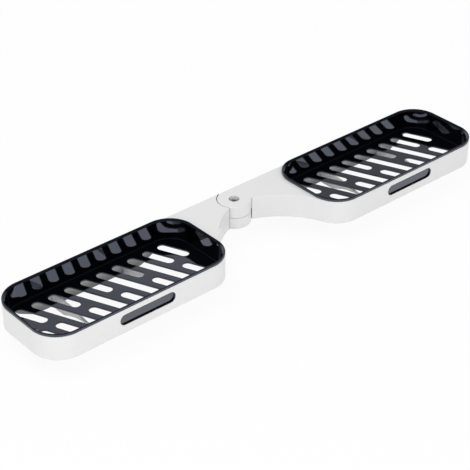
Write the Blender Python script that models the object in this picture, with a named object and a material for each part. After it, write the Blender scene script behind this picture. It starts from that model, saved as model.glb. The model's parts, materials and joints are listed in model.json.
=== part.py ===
# Folding bathroom shelf: two white frames that meet at an upright hinge, each with a
# black lift-out tray, each hung on a wall bracket with an adhesive pad.
# Metres, +Z up, +Y towards the wall, X along the shelf.
import math

import bmesh
import bpy
from mathutils import Matrix, Vector

for old in list(bpy.data.objects):
    bpy.data.objects.remove(old, do_unlink=True)

# Driving sizes of one frame, seen from above
tray_length = 0.2354
tray_depth = 0.106
corner_radius = 0.0313
pivot_reach = 0.070
knuckle_radius = 0.0188
arm_curve_radius = 0.102
arm_root_front = 0.006
body_height = 0.028

# Frame moulding
frame_wall = 0.0018
arm_top_thickness = 0.003
arm_rib_thickness = 0.0018
arm_rib_recess = 0.003
arm_rib_place_shares = (0.2, 0.5, 0.8)

# Clearances
seat_gap = 0.0003
knuckle_gap = 0.0009
knuckle_seam = 0.0006
inlay_gap = 0.0002
overrun = 0.004

# Tray
rim_width = 0.0036
rim_height = 0.0034
rim_outer_round = 0.001
rim_inner_round = 0.001
rim_slope = math.radians(41)
tray_draft = 0.0009
tray_wall = 0.0017
tray_floor_depth = 0.0202
tray_floor_thickness = 0.0018
tray_inner_round = 0.0008
tray_outer_round = 0.0026

# Drain slots
slot_width = 0.0106
slot_pitch = 0.0202
slot_tilt = math.radians(23.4)
slot_back_margin = 0.0087
slot_front_margin = 0.0069
slot_bridge = 0.0092
slot_bridge_shift = 0.0005
slot_row_shift = 0.0007
slot_lines_each_side = 5

# Window in the front wall and its inlay
window_length = 0.0698
window_height = 0.0125
window_drop = 0.0123
inlay_wall = 0.0005
inlay_floor = 0.0006
inlay_flange = 0.0012
inlay_set_back = 0.0001

# Hinge screw and what is on it
bore_radius = 0.0046
sleeve_wall = 0.001
screw_shank_radius = 0.003
screw_head_radius = 0.0051
screw_head_height = 0.0024
screw_head_round = 0.0008
drive_slot_length = 0.006
drive_slot_width = 0.0012
drive_slot_depth = 0.0013
counterbore_radius = 0.006
counterbore_depth = 0.0070
washer_thickness = 0.001
washer_margin = 0.0004
friction_radius = 0.0118
friction_thickness = 0.0012
nut_flat_width = 0.010
nut_height = 0.004
nut_pocket_depth = 0.0078
cap_radius = 0.0092
cap_thickness = 0.0012

# Stop lug of the upper knuckle and its track in the lower one
stop_mid_radius = 0.0150
stop_width = 0.0022
stop_height = 0.0024
stop_start = math.radians(20)
stop_arc = math.radians(14)
stop_play = math.radians(1)
stop_gap = 0.0004
fold_angle = math.radians(90)

# Wall bracket
plate_length = 0.188
plate_thickness = 0.003
plate_drop = 0.0467
plate_top_drop = 0.005
plate_slant_length = 0.025
plate_slant_height = 0.0124
plate_low_round = 0.012
plate_top_round = 0.004
left_bracket_shift = 0.0032
right_bracket_shift = 0.0108
hook_spacing = 0.0925
hook_width = 0.003
hook_reach = 0.069
saddle_tab_thickness = 0.005
saddle_tray_gap = 0.001
pad_thickness = 0.001
pad_margin = 0.003

# Number of straight pieces in round shapes
corner_steps = 16
eye_steps = 40
round_steps = 32
small_steps = 24
edge_steps = 3
rim_steps = 5

# Heights and lines that follow from the sizes above, from the hinge axis at the frame's top
back_line = knuckle_radius
front_line = back_line - tray_depth
frame_middle = pivot_reach + tray_length / 2
seam_height = -body_height / 2
upper_face = seam_height + knuckle_seam / 2
lower_face = seam_height - knuckle_seam / 2
plate_front = back_line + seat_gap
plate_back = plate_front + plate_thickness
pad_back = plate_back + seat_gap + pad_thickness
recess_radius = knuckle_radius + knuckle_gap
tray_foot = rim_width + tray_draft
tray_outside = tray_foot - tray_wall

# Places along the hinge axis, from the top down
washer_low = -counterbore_depth + seat_gap
head_bottom = washer_low + washer_thickness + seat_gap
friction_seat_depth = friction_thickness + 2 * seat_gap - knuckle_seam
friction_low = lower_face - friction_seat_depth + seat_gap
nut_washer_high = -body_height + nut_pocket_depth - seat_gap
nut_washer_low = nut_washer_high - washer_thickness
nut_low = nut_washer_low - seat_gap - nut_height
screw_end = -body_height + cap_thickness + 2 * seat_gap
sleeve_outer = bore_radius - seat_gap
sleeve_inner = sleeve_outer - sleeve_wall
sleeve_high = -counterbore_depth
sleeve_low = -body_height + nut_pocket_depth
washer_hole = screw_shank_radius + seat_gap

# Where the hook's upper edge meets the saddle's tab, from the plate forwards
tab_front_share = (frame_wall + 2 * seat_gap + saddle_tab_thickness) / hook_reach

# The part's own origin is at the middle of its length and depth, at its lowest point
axis_depth = -(front_line + pad_back) / 2
axis_height = plate_drop


def add_material(name, color, roughness, metallic=0.0, coat=0.0):
    material = bpy.data.materials.new(name)
    material.use_nodes = True
    shader = material.node_tree.nodes["Principled BSDF"]
    shader.inputs["Base Color"].default_value = (*color, 1.0)
    shader.inputs["Roughness"].default_value = roughness
    shader.inputs["Metallic"].default_value = metallic
    shader.inputs["Coat Weight"].default_value = coat
    material.diffuse_color = (*color, 1.0)
    return material


white_plastic = add_material("white_plastic", (0.86, 0.86, 0.86), 0.32)
bracket_plastic = add_material("bracket_plastic", (0.80, 0.80, 0.80), 0.4)
black_plastic = add_material("black_plastic", (0.012, 0.012, 0.018), 0.12, coat=0.3)
steel = add_material("steel", (0.62, 0.62, 0.63), 0.3, metallic=1.0)
brass = add_material("brass", (0.72, 0.55, 0.28), 0.32, metallic=1.0)
nylon = add_material("nylon", (0.55, 0.55, 0.53), 0.5)
foam = add_material("foam", (0.72, 0.73, 0.74), 0.8)

shelf = bpy.data.objects.new("shelf", None)
bpy.context.collection.objects.link(shelf)
shelf.location = (0, axis_depth, axis_height)


# Meshes and objects


def add_object(name, mesh):
    item = bpy.data.objects.new(name, mesh)
    bpy.context.collection.objects.link(item)
    item.parent = shelf
    return item


def loft(name, loops):
    """Closed body through loops of equal counts, with the first and last one filled."""
    bm = bmesh.new()
    rows = [[bm.verts.new(point) for point in loop] for loop in loops]
    count = len(rows[0])
    for lower, upper in zip(rows, rows[1:]):
        for i in range(count):
            j = (i + 1) % count
            bm.faces.new((lower[i], lower[j], upper[j], upper[i]))
    bm.faces.new(rows[0])
    bm.faces.new(rows[-1])
    bmesh.ops.recalc_face_normals(bm, faces=bm.faces)
    mesh = bpy.data.meshes.new(name)
    bm.to_mesh(mesh)
    bm.free()
    return mesh


def ring(name, profile, steps):
    """Closed turned body from a closed profile of (radius, height) points."""
    bm = bmesh.new()
    rows = []
    for i in range(steps):
        angle = math.tau * i / steps
        rows.append([bm.verts.new((r * math.cos(angle), r * math.sin(angle), z)) for r, z in profile])
    count = len(profile)
    for i in range(steps):
        here = rows[i]
        there = rows[(i + 1) % steps]
        for k in range(count):
            m = (k + 1) % count
            bm.faces.new((here[k], there[k], there[m], here[m]))
    bmesh.ops.recalc_face_normals(bm, faces=bm.faces)
    mesh = bpy.data.meshes.new(name)
    bm.to_mesh(mesh)
    bm.free()
    return mesh


def prism(name, outline, low, high):
    """Upright body over an outline of (x, y) points."""
    return loft(name, [[(x, y, low) for x, y in outline], [(x, y, high) for x, y in outline]])


def disc(name, radius, low, high, steps):
    return prism(name, arc((0, 0), radius, 0, math.tau * (steps - 1) / steps, steps - 1), low, high)


def box(name, low, high):
    outline = [(low[0], low[1]), (high[0], low[1]), (high[0], high[1]), (low[0], high[1])]
    return prism(name, outline, low[2], high[2])


def combine(item, tool_mesh, operation, place=(0, 0, 0)):
    """Cuts a tool out of an item, or joins it, and keeps the result as the item's mesh."""
    tool = bpy.data.objects.new(item.name + "_tool", tool_mesh)
    bpy.context.collection.objects.link(tool)
    tool.parent = shelf
    tool.location = place
    modifier = item.modifiers.new(operation.lower(), "BOOLEAN")
    modifier.operation = operation
    modifier.solver = "EXACT"
    modifier.object = tool
    bpy.context.view_layer.update()
    graph = bpy.context.evaluated_depsgraph_get()
    result = bpy.data.meshes.new_from_object(item.evaluated_get(graph))
    item.modifiers.clear()
    item.data = result
    bpy.data.objects.remove(tool, do_unlink=True)


def cut(item, tool_mesh, place=(0, 0, 0)):
    combine(item, tool_mesh, "DIFFERENCE", place)


def join(item, tool_mesh, place=(0, 0, 0)):
    combine(item, tool_mesh, "UNION", place)


def finish(item, material, origin=(0, 0, 0)):
    """Sets the material, smooths round faces and puts the origin on the given point."""
    mesh = item.data
    mesh.materials.clear()
    mesh.materials.append(material)
    mesh.shade_smooth()
    mesh.set_sharp_from_angle(angle=math.radians(35))
    mesh.transform(Matrix.Translation(-Vector(origin)))
    item.location = origin
    return item


# Outlines, as lists of (x, y) points that run anticlockwise


def arc(centre, radius, start, end, steps):
    points = []
    for i in range(steps + 1):
        angle = start + (end - start) * i / steps
        points.append((centre[0] + radius * math.cos(angle), centre[1] + radius * math.sin(angle)))
    return points


def rounded_rectangle(low, high, radius, steps):
    quarter = math.pi / 2
    centres = [
        (high[0] - radius, high[1] - radius),
        (low[0] + radius, high[1] - radius),
        (low[0] + radius, low[1] + radius),
        (high[0] - radius, low[1] + radius),
    ]
    points = []
    for i, centre in enumerate(centres):
        points += arc(centre, radius, quarter * i, quarter * (i + 1), steps)
    return points


def tray_outline(inset, steps=corner_steps):
    """Outline of the tray's rim on the right frame, moved inwards."""
    low = (pivot_reach + inset, front_line + inset)
    high = (pivot_reach + tray_length - inset, back_line - inset)
    return rounded_rectangle(low, high, corner_radius - inset, steps)


def rounded_corner(before, corner, after, radius, steps):
    """Arc that rounds one corner of an outline, between its neighbours."""
    corner = Vector(corner)
    back = (Vector(before) - corner).normalized()
    onward = (Vector(after) - corner).normalized()
    half = back.angle(onward) / 2
    centre = corner + (back + onward).normalized() * radius / math.sin(half)
    start = angle_of(corner + back * radius / math.tan(half), centre)
    return arc(centre, radius, start, start + math.pi - 2 * half, steps)


def obround(length, height, inset, steps):
    """Outline with two half-round ends, centred on zero."""
    radius = height / 2 - inset
    reach = (length - height) / 2
    right = arc((reach, 0), radius, -math.pi / 2, math.pi / 2, steps)
    left = arc((-reach, 0), radius, math.pi / 2, math.pi * 3 / 2, steps)
    return right + left


def mirrored(outline):
    return [(-x, y) for x, y in reversed(outline)]


def circles_cross(centre_a, radius_a, centre_b, radius_b, side):
    """One of the two points where two circles cross; side is 1 or -1."""
    a = Vector(centre_a)
    b = Vector(centre_b)
    apart = (b - a).length
    along = (apart**2 + radius_a**2 - radius_b**2) / (2 * apart)
    across = math.sqrt(max(radius_a**2 - along**2, 0))
    way = (b - a) / apart
    return a + way * along + Vector((-way.y, way.x)) * across * side


def angle_of(point, centre):
    return math.atan2(point[1] - centre[1], point[0] - centre[0])


# The arm's hollow front curve is an arc that touches the frame's corner and starts in the knuckle
near_corner = Vector((pivot_reach + corner_radius, front_line + corner_radius))
curve_centre = circles_cross(
    (0, -arm_root_front), arm_curve_radius, near_corner, arm_curve_radius + corner_radius, -1
)


def frame_outline():
    """Outline of the right frame: knuckle, arm and tray surround in one."""
    crossing = circles_cross((0, 0), knuckle_radius, curve_centre, arm_curve_radius, 1)
    eye_end = angle_of(crossing, (0, 0)) % math.tau
    touch = angle_of(curve_centre, near_corner) % math.tau
    curve_start = angle_of(crossing, curve_centre)
    curve_end = angle_of(near_corner, curve_centre)
    quarter = math.pi / 2
    end_line = pivot_reach + tray_length
    points = arc((0, 0), knuckle_radius, quarter, eye_end, eye_steps)
    points += arc(curve_centre, arm_curve_radius, curve_start, curve_end, small_steps)[1:]
    points += arc(near_corner, corner_radius, touch, quarter * 3, corner_steps)[1:]
    low_far = (end_line - corner_radius, front_line + corner_radius)
    high_far = (end_line - corner_radius, back_line - corner_radius)
    points += arc(low_far, corner_radius, -quarter, 0, corner_steps)
    points += arc(high_far, corner_radius, 0, quarter, corner_steps)
    return points


def curve_sector(radius):
    """Quarter disc in front of the right arm, bounded by the arm's curve."""
    return arc(curve_centre, radius, 0, math.pi / 2, corner_steps * 2) + [tuple(curve_centre)]


# Frames


def side_outline(outline, side):
    return outline if side > 0 else mirrored(outline)


def cut_arm_hollow(frame, side):
    """Leaves the arm as a cap with side walls and cross ribs."""
    top = -arm_top_thickness
    bottom = -body_height
    low_end = bottom - overrun
    high_end = top + overrun
    hub = recess_radius + frame_wall
    near_end = (0, front_line, low_end)
    far_end = (pivot_reach + corner_radius, back_line - frame_wall, top)
    space = add_object("hollow", box("hollow", near_end, far_end))
    cut(space, disc("hub", hub, low_end - overrun, high_end, eye_steps))
    cut(space, prism("curve", curve_sector(arm_curve_radius + frame_wall), low_end - overrun, high_end))
    cut(space, prism("surround", tray_outline(0), low_end - overrun, high_end))
    for share in arm_rib_place_shares:
        middle = hub + (pivot_reach - hub) * share
        half = arm_rib_thickness / 2
        low = (middle - half, front_line - overrun, bottom + arm_rib_recess)
        high = (middle + half, back_line + overrun, high_end)
        cut(space, box("rib", low, high))
    tool = space.data
    if side < 0:
        tool.transform(Matrix.Scale(-1, 4, (1, 0, 0)))
        tool.flip_normals()
    cut(frame, tool)
    bpy.data.objects.remove(space, do_unlink=True)


def cut_window(frame, side):
    """Opens the long round-ended window in the front wall."""
    outline = obround(window_length, window_height, 0, small_steps // 2)
    depth = frame_wall + overrun
    loops = [
        [(x, front_line - overrun, z - window_drop) for x, z in outline],
        [(x, front_line + depth, z - window_drop) for x, z in outline],
    ]
    cut(frame, loft("window", loops), (side * frame_middle, 0, 0))


def stop_sector(name, width, low, high, start, end):
    """Curved block about the hinge axis, for the stop lug and for its track."""
    inner = arc((0, 0), stop_mid_radius - width / 2, end, start, small_steps)
    outer = arc((0, 0), stop_mid_radius + width / 2, start, end, small_steps)
    return prism(name, outer + inner, low, high)


def build_left_frame():
    """Left frame, with the lower knuckle, the nut's pocket and the stop's track."""
    outline = mirrored(frame_outline())
    frame = add_object("left_frame", prism("left_frame", outline, -body_height, 0))
    cut(frame, prism("seat", mirrored(tray_outline(frame_wall)), -body_height - overrun, overrun))
    cut(frame, disc("eye", recess_radius, lower_face, overrun, eye_steps * 2))
    cut_arm_hollow(frame, -1)
    cut(frame, disc("bore", bore_radius, -body_height - overrun, overrun, round_steps))
    seat_low = lower_face - friction_seat_depth
    cut(frame, disc("washer_seat", friction_radius + knuckle_gap, seat_low, overrun, round_steps))
    half = stop_arc / 2
    track_low = lower_face - stop_height - stop_gap
    first = stop_start - half - fold_angle - stop_play
    last = stop_start + half + stop_play
    cut(frame, stop_sector("track", stop_width + 2 * stop_gap, track_low, overrun, first, last))
    pocket_top = -body_height + nut_pocket_depth
    pocket = nut_flat_width / 2 + washer_margin + seat_gap
    hexagon = arc((0, 0), pocket / math.cos(math.pi / 6), 0, math.tau * 5 / 6, 5)
    cut(frame, prism("pocket", hexagon, -body_height - overrun, pocket_top))
    cap_top = -body_height + cap_thickness + seat_gap
    cut(frame, disc("cap_seat", cap_radius + seat_gap, -body_height - overrun, cap_top, round_steps))
    cut_window(frame, -1)
    return finish(frame, white_plastic)


def build_right_frame():
    """Right frame, with the upper knuckle, the screw head's counterbore and the stop lug."""
    frame = add_object("right_frame", prism("right_frame", frame_outline(), -body_height, 0))
    cut(frame, prism("seat", tray_outline(frame_wall), -body_height - overrun, overrun))
    cut(frame, disc("eye", recess_radius, -body_height - overrun, upper_face, eye_steps * 2))
    cut_arm_hollow(frame, 1)
    cut(frame, disc("bore", bore_radius, -body_height - overrun, overrun, round_steps))
    cut(frame, disc("counterbore", counterbore_radius, -counterbore_depth, overrun, round_steps))
    half = stop_arc / 2
    lug_low = lower_face - stop_height + stop_gap
    lug_high = upper_face + stop_gap
    join(frame, stop_sector("lug", stop_width, lug_low, lug_high, stop_start - half, stop_start + half))
    cut_window(frame, 1)
    return finish(frame, white_plastic)


# Trays and window inlays


def tray_profile():
    """Inset and height pairs, from the floor's top round the rim to the floor's underside."""
    outer = tray_outside
    floor_top = -tray_floor_depth
    floor_low = floor_top - tray_floor_thickness
    quarter = math.pi / 2
    points = []
    for i in range(edge_steps + 1):
        angle = quarter * i / edge_steps
        points.append((tray_foot + tray_inner_round * (1 - math.sin(angle)),
                       floor_top + tray_inner_round * (1 - math.cos(angle))))
    slope_inset = rim_outer_round + rim_inner_round * math.sin(rim_slope)
    slope_top = rim_height - rim_inner_round * (1 - math.cos(rim_slope))
    points.append((rim_width, slope_top - (rim_width - slope_inset) * math.tan(rim_slope)))
    for i in range(rim_steps + 1):
        angle = rim_slope * (1 - i / rim_steps)
        points.append((rim_outer_round + rim_inner_round * math.sin(angle),
                       rim_height - rim_inner_round * (1 - math.cos(angle))))
    for i in range(1, rim_steps + 1):
        angle = quarter * i / rim_steps
        points.append((rim_outer_round * (1 - math.sin(angle)),
                       rim_height - rim_outer_round * (1 - math.cos(angle))))
    points.append((0, seat_gap))
    points.append((outer, seat_gap))
    for i in range(edge_steps + 1):
        angle = quarter * i / edge_steps
        points.append((outer + tray_outer_round * (1 - math.cos(angle)),
                       floor_low + tray_outer_round * (1 - math.sin(angle))))
    return points


def slot_mesh(line, start, end):
    """One drain slot through the tray's floor, from start to end along the tray's depth."""
    radius = slot_width / 2
    lean = math.tan(slot_tilt)
    middle = (front_line + back_line) / 2
    first = start - radius
    last = end + radius
    length = (first - last) / math.cos(slot_tilt) + slot_width
    outline = obround(length, slot_width, 0, small_steps // 3)
    turn = Matrix.Rotation(slot_tilt - math.pi / 2, 2)
    centre_y = (first + last) / 2
    centre_x = slot_row_shift + line * slot_pitch - (centre_y - middle) * lean
    points = [turn @ Vector(point) + Vector((centre_x, centre_y)) for point in outline]
    low = -tray_floor_depth - tray_floor_thickness - overrun
    return prism("slot", points, low, -tray_floor_depth + overrun)


def slot_runs(line):
    """Start and end of each slot on one slanting line."""
    back = back_line - tray_foot - slot_back_margin
    front = front_line + tray_foot + slot_front_margin
    middle = (front_line + back_line) / 2 + slot_bridge_shift
    back_run = (back, middle + slot_bridge / 2)
    front_run = (middle - slot_bridge / 2, front)
    if line == -slot_lines_each_side:
        return [front_run]
    if line == slot_lines_each_side:
        return [back_run]
    if line % 2:
        return [(back, front)]
    return [back_run, front_run]


def build_tray(name, side):
    """Lift-out tray: ridged rim that slopes inwards, drafted wall and slotted floor."""
    loops = []
    for inset, height in tray_profile():
        loops.append([(x, y, height) for x, y in side_outline(tray_outline(inset), side)])
    tray = add_object(name, loft(name, loops))
    for line in range(-slot_lines_each_side, slot_lines_each_side + 1):
        for start, end in slot_runs(line):
            cut(tray, slot_mesh(line, start, end), (side * frame_middle, 0, 0))
    return finish(tray, black_plastic, (side * frame_middle, (front_line + back_line) / 2, 0))


def build_inlay(name, side):
    """Dished black panel that closes the front wall's window from inside."""
    face = front_line + inlay_set_back
    back = front_line + frame_wall + seat_gap
    floor_back = front_line + tray_outside - seat_gap
    floor_front = floor_back - inlay_floor
    inner = inlay_gap + inlay_wall
    steps = small_steps // 2
    profile = [
        (inner, floor_front),
        (inner, face),
        (inlay_gap, face),
        (inlay_gap, back),
        (-inlay_flange, back),
        (-inlay_flange, floor_back),
    ]
    loops = []
    for inset, depth in profile:
        outline = obround(window_length, window_height, inset, steps)
        loops.append([(x, depth, z) for x, z in outline])
    inlay = add_object(name, loft(name, loops))
    inlay.data.transform(Matrix.Translation((side * frame_middle, 0, -window_drop)))
    return finish(inlay, black_plastic, (side * frame_middle, front_line, -window_drop))


# Hinge hardware, all on the axis


def build_screw():
    top = head_bottom + screw_head_height
    profile = [(screw_shank_radius, head_bottom), (screw_head_radius, head_bottom)]
    for i in range(edge_steps + 1):
        angle = math.pi / 2 * i / edge_steps
        profile.append((screw_head_radius - screw_head_round * (1 - math.cos(angle)),
                        top - screw_head_round * (1 - math.sin(angle))))
    loops = [[(screw_shank_radius * x, screw_shank_radius * y, screw_end) for x, y in unit_circle()]]
    for radius, height in profile:
        loops.append([(radius * x, radius * y, height) for x, y in unit_circle()])
    screw = add_object("pivot_screw", loft("pivot_screw", loops))
    half_length = drive_slot_length / 2
    half_width = drive_slot_width / 2
    low = top - drive_slot_depth
    cut(screw, box("drive", (-half_length, -half_width, low), (half_length, half_width, top + overrun)))
    cut(screw, box("drive", (-half_width, -half_length, low), (half_width, half_length, top + overrun)))
    return finish(screw, steel)


def unit_circle():
    return arc((0, 0), 1, 0, math.tau * (round_steps - 1) / round_steps, round_steps - 1)


def build_ring(name, inner, outer, low, high, material):
    profile = [(inner, low), (outer, low), (outer, high), (inner, high)]
    return finish(add_object(name, ring(name, profile, round_steps)), material)


def build_nut():
    radius = nut_flat_width / 2 / math.cos(math.pi / 6)
    hexagon = arc((0, 0), radius, 0, math.tau * 5 / 6, 5)
    nut = add_object("pivot_nut", prism("pivot_nut", hexagon, nut_low, nut_low + nut_height))
    cut(nut, disc("bore", screw_shank_radius + seat_gap, nut_low - overrun, 0, round_steps))
    return finish(nut, steel)


def build_cap():
    low = -body_height
    cap = add_object("pivot_cap", disc("pivot_cap", cap_radius, low, low + cap_thickness, round_steps))
    return finish(cap, white_plastic)


# Wall brackets


def bezier(points, steps):
    a, b, c, d = [Vector(point) for point in points]
    result = []
    for i in range(steps + 1):
        t = i / steps
        s = 1 - t
        result.append(tuple(a * s**3 + b * 3 * s * s * t + c * 3 * s * t * t + d * t**3))
    return result


def hook_point(reach_share, drop_share):
    """A point of the hook's side view: forward from the plate and down the hook's height."""
    height = plate_drop - body_height
    return (plate_front - hook_reach * reach_share, -body_height - height * drop_share)


def hook_low_edge():
    """Lower edge, from the plate's foot to the raised tip."""
    knee_shares = [(0.30, 1.0), (0.42, 0.78), (0.62, 0.46), (0.84, 0.44)]
    tip_shares = [(0.84, 0.44), (0.94, 0.43), (0.99, 0.34), (1.0, 0.12)]
    points = bezier([hook_point(*share) for share in knee_shares], small_steps // 2)
    points += bezier([hook_point(*share) for share in tip_shares], small_steps // 3)[1:]
    return points


def hook_top_edge():
    """Upper edge, from the raised tip back to the saddle's tab."""
    tip_shares = [(0.965, 0.10), (0.95, 0.28), (0.91, 0.345), (0.84, 0.34)]
    run_shares = [(0.84, 0.34), (0.70, 0.26), (0.52, 0.06), (tab_front_share, 0.04)]
    points = bezier([hook_point(*share) for share in tip_shares], small_steps // 3)
    points += bezier([hook_point(*share) for share in run_shares], small_steps // 3)[1:]
    return points


def hook_outline():
    """Side view of one hook, as (y, z) points: hook, saddle tab and saddle floor."""
    inside = back_line - frame_wall - seat_gap
    outside = plate_front + plate_thickness / 2
    saddle = -body_height - seat_gap
    tab_top = -tray_floor_depth - tray_floor_thickness - saddle_tray_gap
    tab = [(inside - saddle_tab_thickness, tab_top), (inside, tab_top), (inside, saddle)]
    return [(outside, -plate_drop)] + hook_low_edge() + hook_top_edge() + tab + [(outside, saddle)]


def side_prism(name, outline, middle, width):
    """Body over a (y, z) outline, across a width along X."""
    low = middle - width / 2
    high = middle + width / 2
    return loft(name, [[(low, y, z) for y, z in outline], [(high, y, z) for y, z in outline]])


def bracket_middle(side):
    """Each bracket hangs a little further along X than its tray's middle."""
    return side * frame_middle + (right_bracket_shift if side > 0 else left_bracket_shift)


def plate_outline(inset):
    """Outline of the plate as (x, z) points, with slanting lower corners, moved inwards."""
    half = plate_length / 2 - inset
    high = -plate_top_drop - inset
    low = -plate_drop + inset
    lean = math.atan2(plate_slant_height, plate_slant_length)
    foot_end = (plate_length / 2 - plate_slant_length - inset * math.tan(lean / 2), low)
    side_height = -plate_drop + plate_slant_height + inset * math.tan(math.pi / 4 - lean / 2)
    side_end = (half, side_height)
    low_round = plate_low_round - inset
    points = rounded_corner((0, low), foot_end, side_end, low_round, corner_steps // 2)
    points += rounded_corner(foot_end, side_end, (half, high), low_round, corner_steps // 2)
    points += rounded_corner(side_end, (half, high), (0, high), plate_top_round - inset, edge_steps)
    return points + mirrored(points)


def build_bracket(name, side):
    """White wall bracket: plate, two hooks and the saddles that take the frame's back wall."""
    outline = plate_outline(0)
    loops = [[(x, plate_front, z) for x, z in outline], [(x, plate_back, z) for x, z in outline]]
    bracket = add_object(name, loft(name, loops))
    for place in (-1, 1):
        middle = place * hook_spacing / 2
        join(bracket, side_prism("hook", hook_outline(), middle, hook_width))
    middle = bracket_middle(side)
    bracket.data.transform(Matrix.Translation((middle, 0, 0)))
    return finish(bracket, bracket_plastic, (middle, plate_front, -body_height))


def build_pad(name, side):
    outline = plate_outline(pad_margin)
    front = plate_back + seat_gap
    loops = [[(x, front, z) for x, z in outline], [(x, pad_back, z) for x, z in outline]]
    pad = add_object(name, loft(name, loops))
    middle = bracket_middle(side)
    pad.data.transform(Matrix.Translation((middle, 0, 0)))
    return finish(pad, foam, (middle, pad_back, -(plate_drop + plate_top_drop) / 2))


# The whole shelf
build_left_frame()
build_right_frame()
for side, word in ((-1, "left"), (1, "right")):
    build_tray(word + "_tray", side)
    build_inlay(word + "_window_inlay", side)
    build_bracket(word + "_wall_bracket", side)
    build_pad(word + "_adhesive_pad", side)
build_screw()
build_ring("screw_washer", washer_hole, counterbore_radius - washer_margin, washer_low,
           washer_low + washer_thickness, steel)
build_ring("friction_washer", bore_radius, friction_radius, friction_low,
           friction_low + friction_thickness, nylon)
build_ring("pivot_sleeve", sleeve_inner, sleeve_outer, sleeve_low, sleeve_high, brass)
build_ring("nut_washer", washer_hole, nut_flat_width / 2, nut_washer_low, nut_washer_high, steel)
build_nut()
build_cap()
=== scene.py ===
# Folding bathroom shelf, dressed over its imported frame.
# Sizes are in metres. Local places are counted from the hinge axis at the frames' top.
import json
import math
import bmesh
import bpy
from mathutils import Matrix, Vector


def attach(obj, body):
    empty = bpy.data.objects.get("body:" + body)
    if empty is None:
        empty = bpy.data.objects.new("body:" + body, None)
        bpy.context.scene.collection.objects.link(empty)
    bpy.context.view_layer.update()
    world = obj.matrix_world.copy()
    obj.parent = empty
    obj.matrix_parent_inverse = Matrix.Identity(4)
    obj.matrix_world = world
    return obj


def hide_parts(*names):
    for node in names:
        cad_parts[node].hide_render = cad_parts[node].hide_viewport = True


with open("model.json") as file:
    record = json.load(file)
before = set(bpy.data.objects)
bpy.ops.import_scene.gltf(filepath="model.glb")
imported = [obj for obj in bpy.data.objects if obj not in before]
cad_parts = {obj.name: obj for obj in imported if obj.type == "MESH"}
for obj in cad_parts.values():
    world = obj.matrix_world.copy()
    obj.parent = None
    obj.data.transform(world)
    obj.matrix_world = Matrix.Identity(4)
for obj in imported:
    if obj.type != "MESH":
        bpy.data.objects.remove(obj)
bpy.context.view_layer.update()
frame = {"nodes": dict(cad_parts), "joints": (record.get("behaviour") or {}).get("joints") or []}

nodes = frame["nodes"]
quarter = math.pi / 2
fold = next(joint for joint in frame["joints"] if joint["name"] == "fold")
hinge = Vector(fold["pos_m"])

shelf = {
    "reach": 0.070,  # hinge axis to the tray's near end
    "length": 0.2354,
    "depth": 0.106,
    "corner": 0.0313,
    "cornerSteps": 30,
    "knuckle": 0.0188,
    "curve": 0.102,  # radius of the arm's hollow front
    "rootFront": 0.006,  # where that curve would cross the hinge line
    "height": 0.028,
    "wall": 0.0018,
}
backLine = shelf["knuckle"]
frontLine = backLine - shelf["depth"]
middleX = shelf["reach"] + shelf["length"] / 2
middleY = (backLine + frontLine) / 2

meshCare = {
    "merge": 1e-6,  # points nearer than this become one
    "sliver": 2e-6,
    "flat": math.radians(0.3),  # faces that meet flatter than this become one
    "onPlace": 1e-5,  # how far a point may be from the height or line asked for
    "onHub": 1.5e-4,  # the same for a radius
    "strip": 0.00036,  # faces narrower than this count as rounded edges
}


# Drawing: outlines grow from one point by spins and straight runs


def runTo(bm, vert, place):
    new = bmesh.ops.extrude_vert_indiv(bm, verts=[vert])["verts"][0]
    new.co = (place[0], place[1], vert.co.z)
    return new


def turn(bm, vert, centre, angle, steps):
    spun = bmesh.ops.spin(
        bm, geom=[vert], cent=(centre[0], centre[1], vert.co.z), axis=(0, 0, 1),
        angle=angle, steps=steps,
    )
    return next(item for item in spun["geom_last"] if isinstance(item, bmesh.types.BMVert))


def fillOutline(bm, last, first):
    bm.edges.new((last, first))
    bmesh.ops.remove_doubles(bm, verts=bm.verts[:], dist=meshCare["merge"])
    face = bmesh.ops.contextual_create(bm, geom=bm.edges[:])["faces"][0]
    if face.normal.z < 0:
        face.normal_flip()
    return face


# Extrudes a face along Z, keeps the first one as the other cap and returns the new one
def raiseFace(bm, face, rise):
    grown = bmesh.ops.extrude_face_region(bm, geom=[face], use_keep_orig=True)
    top = next(item for item in grown["geom"] if isinstance(item, bmesh.types.BMFace))
    bmesh.ops.translate(bm, verts=top.verts[:], vec=(0, 0, rise))
    bmesh.ops.recalc_face_normals(bm, faces=bm.faces[:])
    return top


def roundedFace(bm, centre, size, radius, steps):
    x, y = centre
    halfX, halfY = size[0] / 2, size[1] / 2
    first = bm.verts.new((x + halfX, y + halfY - radius, 0))
    vert = first
    for i, (signX, signY) in enumerate(((1, 1), (-1, 1), (-1, -1), (1, -1))):
        corner = (x + signX * (halfX - radius), y + signY * (halfY - radius))
        heading = quarter * i
        start = (corner[0] + radius * math.cos(heading), corner[1] + radius * math.sin(heading))
        if i:
            vert = runTo(bm, vert, start)
        vert = turn(bm, vert, corner, quarter, steps)
    return fillOutline(bm, vert, first)


def obroundFace(bm, length, height, steps):
    reach = (length - height) / 2
    first = bm.verts.new((reach, -height / 2, 0))
    vert = turn(bm, first, (reach, 0), math.pi, steps)
    vert = runTo(bm, vert, (-reach, height / 2))
    vert = turn(bm, vert, (-reach, 0), math.pi, steps)
    return fillOutline(bm, vert, first)


# Insets and raises a face along a list of (inset, rise) steps
def stack(bm, face, steps):
    for inset, rise in steps:
        bmesh.ops.inset_region(
            bm, faces=[face], thickness=inset, depth=rise,
            use_boundary=True, use_even_offset=True,
        )


# Steps of a round, a quarter turn unless told; turnIn starts upright and ends flat
def roundSteps(radius, count, sign, turnIn, sweep=quarter):
    steps = []
    for i in range(count):
        a = sweep * i / count
        b = sweep * (i + 1) / count
        across = radius * (math.cos(a) - math.cos(b))
        along = radius * (math.sin(b) - math.sin(a))
        steps.append((across, sign * along) if turnIn else (along, sign * across))
    return steps


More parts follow.
